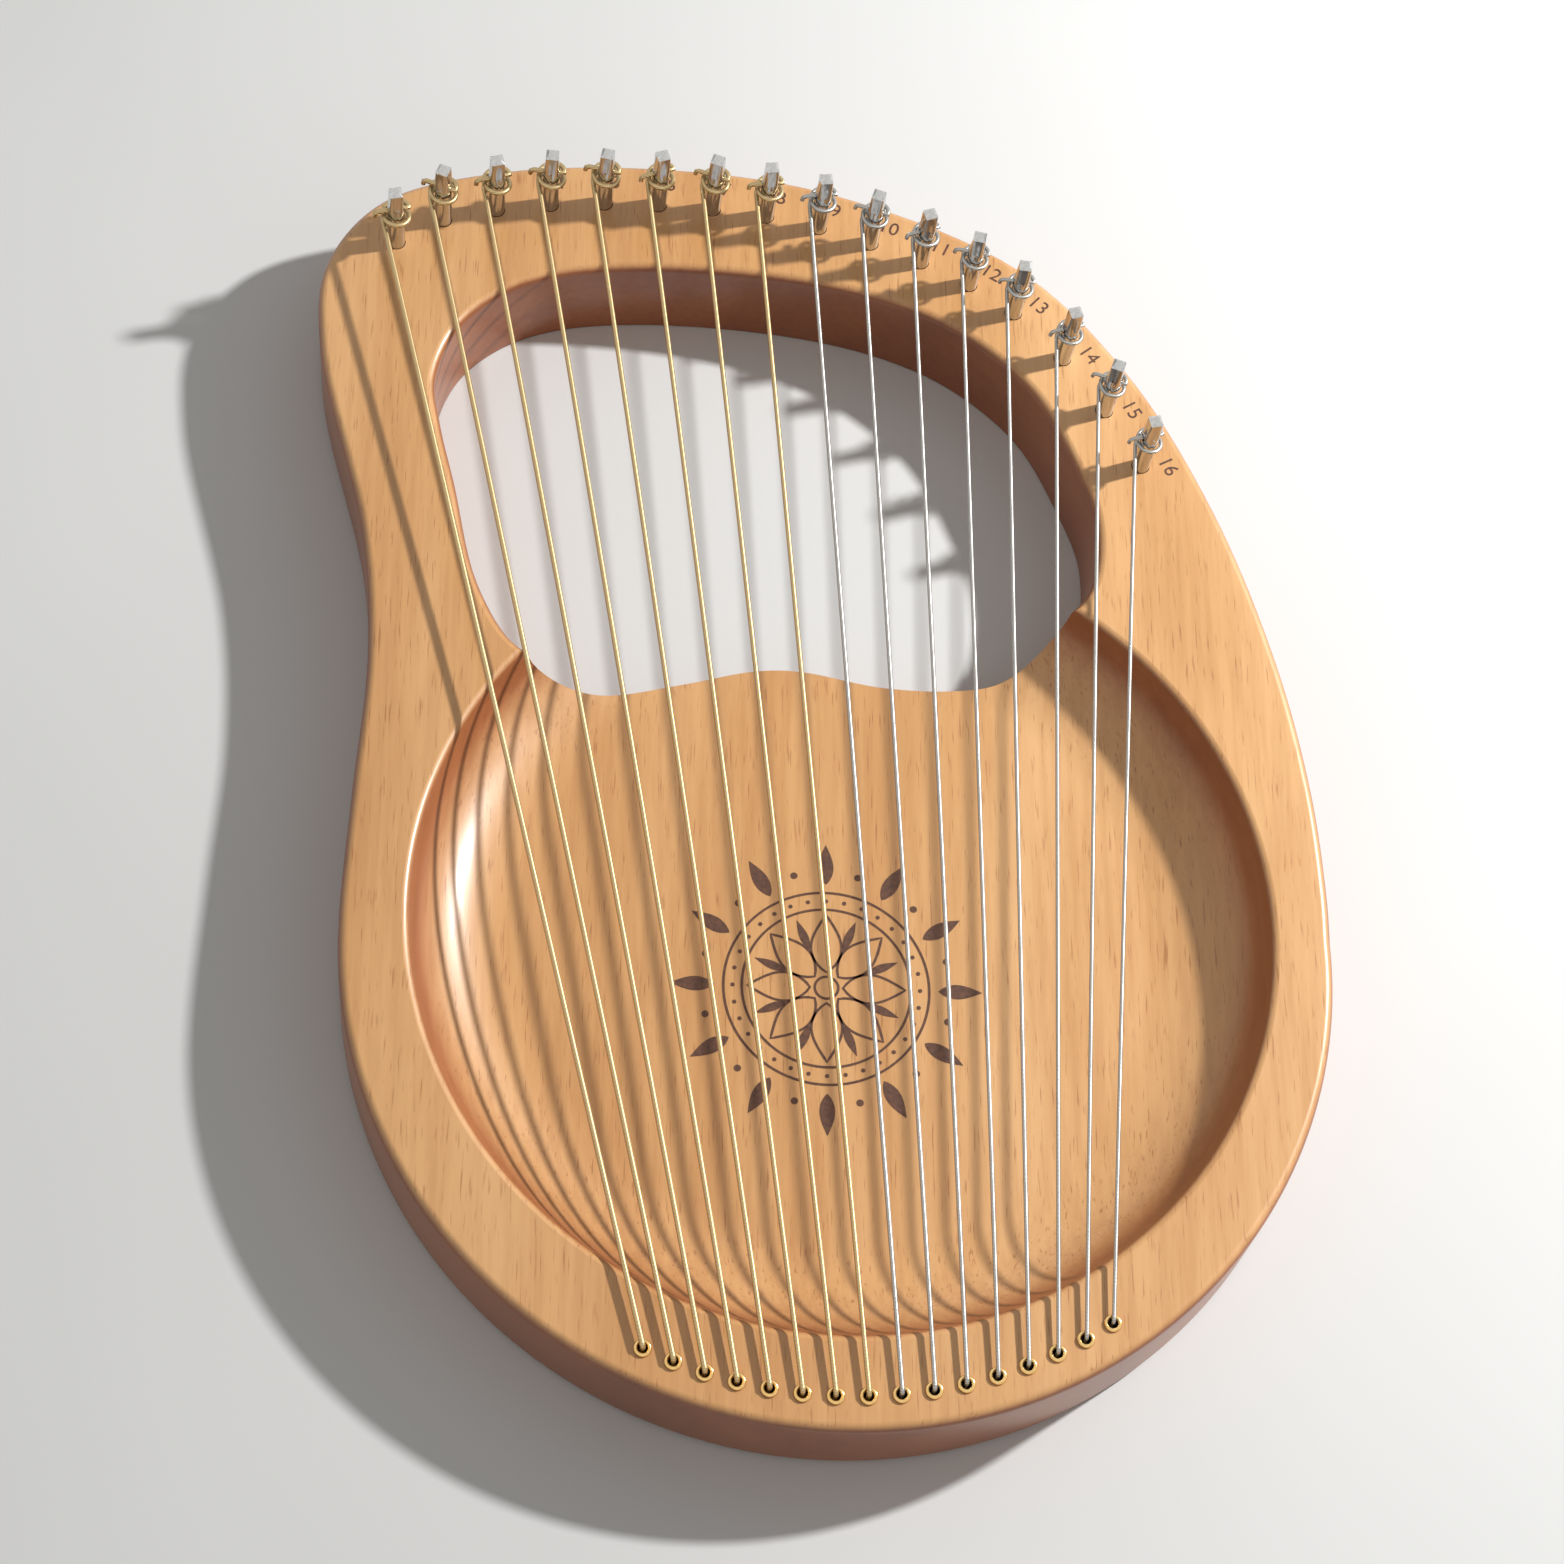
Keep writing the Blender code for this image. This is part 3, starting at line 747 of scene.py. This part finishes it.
def tail_route(number):
    """A string's tail, from the end of its turn up to the pin's cross hole and through it."""
    radius = string_radius(number)
    pin = PINS[number - 1]
    _, coil_radius, start = winding(number)
    end = start - 360 * COIL_TURNS
    sweep = (end - pin_turn(number)) % 180
    if sweep < TAIL_LEAST_SWEEP:
        sweep += 180
    low = BODY_THICKNESS + STRING_HEIGHT_AT_PIN + COIL_PITCH * COIL_TURNS
    high = BODY_THICKNESS + PIN_HOLE_HEIGHT
    tail = []
    for step in range(TAIL_STEPS + 1):
        share = step / TAIL_STEPS
        eased = share * share * (3 - 2 * share)
        point = pin + on_circle(coil_radius, end - sweep * share)
        tail.append((placed(point, low + (high - low) * eased), radius))
    inward = on_circle(1.0, end - sweep)
    for reach in TAIL_PLACES:
        tail.append((placed(pin + inward * reach, high), radius))
    for reach, drop in TAIL_TIP:
        tail.append((placed(pin + inward * reach, high - drop), radius))
    return tail


def make_strings(bronze, silver):
    """The strings and the tails that turn with the pins."""
    for number in range(1, STRING_COUNT + 1):
        radius = string_radius(number)
        wound = number <= WOUND_STRINGS
        material = bronze if wound else silver
        slot = "bronze_winding" if wound else "silver_winding"
        run = tube(f"string_run_{number:02d}", run_route(number), radius, material)
        finish_piece(run, "harp", slot, f"string_{number:02d}")
        end = tube(f"string_tail_{number:02d}", tail_route(number), radius, material)
        finish_piece(end, f"pin_{number:02d}", slot)


def add_line(mesh, outline, height):
    """A flat line of even width along a closed anticlockwise outline."""
    outer = [mesh.verts.new(placed(point, height)) for point in moved_out(outline, LINE_WIDTH / 2)]
    inner = [mesh.verts.new(placed(point, height)) for point in moved_out(outline, -LINE_WIDTH / 2)]
    for index in range(len(outer)):
        after = (index + 1) % len(outer)
        mesh.faces.new((inner[index], outer[index], outer[after], inner[after]))


def add_patch(mesh, outline, height):
    """A filled flat patch."""
    mesh.faces.new([mesh.verts.new(placed(point, height)) for point in outline])


def circle(radius, sides, centre=ROSETTE_OFFSET):
    """An anticlockwise circle in plan."""
    return [centre + on_circle(radius, degrees) for degrees in around(sides)]


def petal(sizes, degrees):
    """A petal between two radii of the rosette, anticlockwise, pointing along an angle."""
    start, end, half_width = sizes
    along = on_circle(1.0, degrees)
    across = Vector((-along.y, along.x))
    right = []
    left = []
    for step in range(PETAL_STEPS + 1):
        share = step / PETAL_STEPS
        middle = ROSETTE_OFFSET + along * (start + share * (end - start))
        side = across * half_width * math.sin(math.pi * share ** PETAL_SKEW)
        right.append(middle - side)
        left.append(middle + side)
    return right + left[-2:0:-1]


def make_rosette(engraving):
    """A plain engraved rosette on the bowl's floor: rings, petals, leaves, beads, dots and lozenges."""
    height = FLOOR_HEIGHT + MARK_LIFT
    mesh = bmesh.new()
    for radius in RING_RADII:
        add_line(mesh, circle(radius, RING_SIDES), height)
    for degrees in around(PETAL_COUNT):
        add_line(mesh, petal(PETAL, degrees), height)
        add_patch(mesh, petal(LEAF, degrees + 180 / PETAL_COUNT), height)
    add_line(mesh, circle(HUB_RADIUS, HUB_SIDES), height)
    for degrees in around(BEAD_COUNT):
        centre = ROSETTE_OFFSET + on_circle(BEAD_RING_RADIUS, degrees)
        add_patch(mesh, circle(BEAD_RADIUS, BEAD_SIDES, centre), height)
    for index, degrees in enumerate(around(BORDER_COUNT)):
        if index % 2:
            centre = ROSETTE_OFFSET + on_circle(DOT_RING_RADIUS, degrees)
            add_patch(mesh, circle(DOT_RADIUS, DOT_SIDES, centre), height)
        else:
            add_patch(mesh, petal(LOZENGE, degrees), height)
    item = add_object("engraved_rosette", mesh_data("rosette", mesh), engraving)
    finish_piece(item, "harp", "wood")


def make_numbers(engraving):
    """Plain numbers from 1 to 16 outside the pins, turned along the edge."""
    for number, place in enumerate(PINS, start=1):
        before = PINS[max(number - 2, 0)]
        after = PINS[min(number, STRING_COUNT - 1)]
        row = (after - before).normalized()
        outward = Vector((-row.y, row.x))
        text = bpy.data.curves.new(f"number_{number:02d}", 'FONT')
        text.body = str(number)
        text.size = NUMBER_SIZE
        text.align_x = 'CENTER'
        text.align_y = 'CENTER'
        item = add_object(f"number_{number:02d}", text, engraving)
        spot = place + outward * NUMBER_OFFSET + row * NUMBER_SHIFT
        item.location = placed(spot, BODY_THICKNESS + MARK_LIFT)
        item.rotation_euler = (0.0, 0.0, math.atan2(row.y, row.x))
        finish_piece(item, "harp", "wood")


def make_camera():
    """The photograph's view."""
    camera = bpy.data.cameras.new("camera")
    camera.lens = CAMERA_LENS
    camera.sensor_width = SENSOR_WIDTH
    item = add_object("camera", camera)
    turn = Matrix((CAMERA_RIGHT, CAMERA_UP, CAMERA_BACK)).transposed().to_4x4()
    centre = Vector((ROUND_CENTRE.x, ROUND_CENTRE.y, 0.0))
    item.matrix_world = Matrix.Translation(centre + CAMERA_OFFSET) @ turn
    bpy.context.scene.camera = item


def make_light():
    """One soft key light from the upper right."""
    lamp = bpy.data.lights.new("key", 'AREA')
    lamp.shape = 'DISK'
    lamp.size = LIGHT_SIZE
    lamp.energy = LIGHT_POWER
    item = add_object("key", lamp)
    item.location = LIGHT_DIRECTION * LIGHT_DISTANCE
    item.rotation_euler = LIGHT_DIRECTION.to_track_quat('Z', 'Y').to_euler()


def make_surround():
    """An even pale surround, seen at full strength by the camera, in gloss and through glass."""
    world = bpy.data.worlds.new("surround")
    world.use_nodes = True
    nodes = world.node_tree.nodes
    links = world.node_tree.links
    background = nodes["Background"]
    background.inputs["Color"].default_value = WORLD_COLOUR
    rays = nodes.new("ShaderNodeLightPath")
    seen = rays.outputs["Is Camera Ray"]
    for kind in ("Is Glossy Ray", "Is Transmission Ray"):
        either = nodes.new("ShaderNodeMath")
        either.operation = 'MAXIMUM'
        links.new(seen, either.inputs[0])
        links.new(rays.outputs[kind], either.inputs[1])
        seen = either.outputs[0]
    strength = nodes.new("ShaderNodeMapRange")
    strength.inputs["To Min"].default_value = WORLD_STRENGTH
    strength.inputs["To Max"].default_value = 1.0
    links.new(seen, strength.inputs["Value"])
    links.new(strength.outputs["Result"], background.inputs["Strength"])
    bpy.context.scene.world = world
    bpy.context.scene.view_settings.view_transform = 'Standard'


def make_floor():
    """A pale floor under the harp."""
    mesh = bmesh.new()
    bmesh.ops.create_grid(mesh, x_segments=1, y_segments=1, size=FLOOR_SIZE)
    floor = add_object("floor", mesh_data("floor", mesh), floor_material())
    floor.location.z = -CLEARANCE


make_camera()
make_light()
make_surround()
make_floor()
make_board(wood_material())
make_pins(metal_material(
    "polished_nickel", colour=(0.62, 0.62, 0.61), dark=(0.42, 0.42, 0.42),
    roughness=0.10, streaks=(900.0, 900.0, 120.0),
))
make_eyelets(metal_material(
    "polished_brass", colour=(0.86, 0.60, 0.26), dark=(0.62, 0.38, 0.13),
    roughness=0.18, streaks=(700.0, 700.0, 700.0),
))
make_strings(
    # Each winding's dark colour is painted shade for the grooves between its turns.
    winding_material("bronze_wire", colour=(0.62, 0.47, 0.25), dark=(0.28, 0.18, 0.07), roughness=0.33),
    winding_material("silver_wire", colour=(0.50, 0.49, 0.46), dark=(0.20, 0.19, 0.18), roughness=0.30),
)
engraved = engraving_material()
make_rosette(engraved)
make_numbers(engraved)
